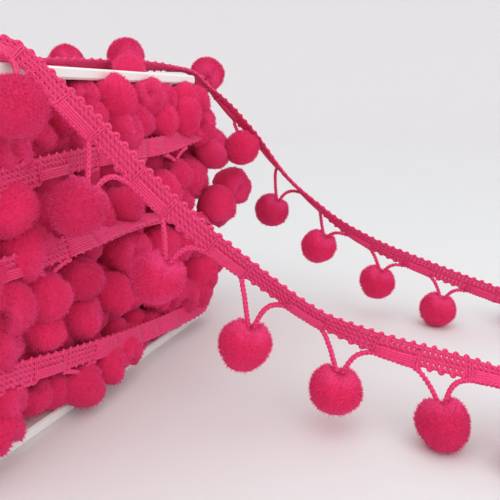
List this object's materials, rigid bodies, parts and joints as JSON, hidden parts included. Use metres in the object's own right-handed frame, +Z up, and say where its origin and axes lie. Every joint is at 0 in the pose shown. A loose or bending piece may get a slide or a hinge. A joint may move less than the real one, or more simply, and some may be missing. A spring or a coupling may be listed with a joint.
{
  "type": "pompom fringe trim on a reel",
  "caption": "Pompom fringe trim wound on a flat white reel, with a long loose end that falls off the top flange, lies round on the surface and comes back up. Decorative edging sold by length.",
  "frame": {"origin": "centre of the reel's underside, on the surface it stands on", "axes": "+X along the reel's long side, -Y out of the front face that the loose end falls past, +Z up"},
  "size_m": [0.2878, 0.3642, 0.1563],
  "materials": {
    "trim_yarn": "hot pink crocheted rayon yarn, slight lustre",
    "pompom_pile": "hot pink cut pile, velvety and matt",
    "reel_plastic": "white moulded plastic, satin"
  },
  "bodies": {
    "root": {"reel_flange_bottom": "reel_plastic", "reel_flange_top": "reel_plastic", "reel_core": "reel_plastic", "wound_trim": "pompom_pile", "loose_braid": "trim_yarn", "pompom_01": "pompom_pile", "pompom_02": "pompom_pile", "pompom_03": "pompom_pile", "pompom_04": "pompom_pile", "pompom_05": "pompom_pile", "pompom_06": "pompom_pile", "pompom_07": "pompom_pile", "pompom_08": "pompom_pile", "pompom_09": "pompom_pile", "pompom_10": "pompom_pile", "pompom_11": "pompom_pile", "pompom_12": "pompom_pile", "pompom_13": "pompom_pile", "pompom_14": "pompom_pile", "pompom_15": "pompom_pile", "pompom_16": "pompom_pile", "pompom_17": "pompom_pile", "pompom_18": "pompom_pile", "pompom_19": "pompom_pile", "pompom_20": "pompom_pile", "pompom_21": "pompom_pile", "pompom_22": "pompom_pile", "pompom_23": "pompom_pile", "pompom_24": "pompom_pile", "pompom_cord_01": "trim_yarn", "pompom_cord_02": "trim_yarn", "pompom_cord_03": "trim_yarn", "pompom_cord_04": "trim_yarn", "pompom_cord_05": "trim_yarn", "pompom_cord_06": "trim_yarn", "pompom_cord_07": "trim_yarn", "pompom_cord_08": "trim_yarn", "pompom_cord_09": "trim_yarn", "pompom_cord_10": "trim_yarn", "pompom_cord_11": "trim_yarn", "pompom_cord_12": "trim_yarn", "pompom_cord_13": "trim_yarn", "pompom_cord_14": "trim_yarn", "pompom_cord_15": "trim_yarn", "pompom_cord_16": "trim_yarn", "pompom_cord_17": "trim_yarn", "pompom_cord_18": "trim_yarn", "pompom_cord_19": "trim_yarn", "pompom_cord_20": "trim_yarn", "pompom_cord_21": "trim_yarn", "pompom_cord_22": "trim_yarn", "pompom_cord_23": "trim_yarn", "pompom_cord_24": "trim_yarn"}
  },
  "joints": []
}
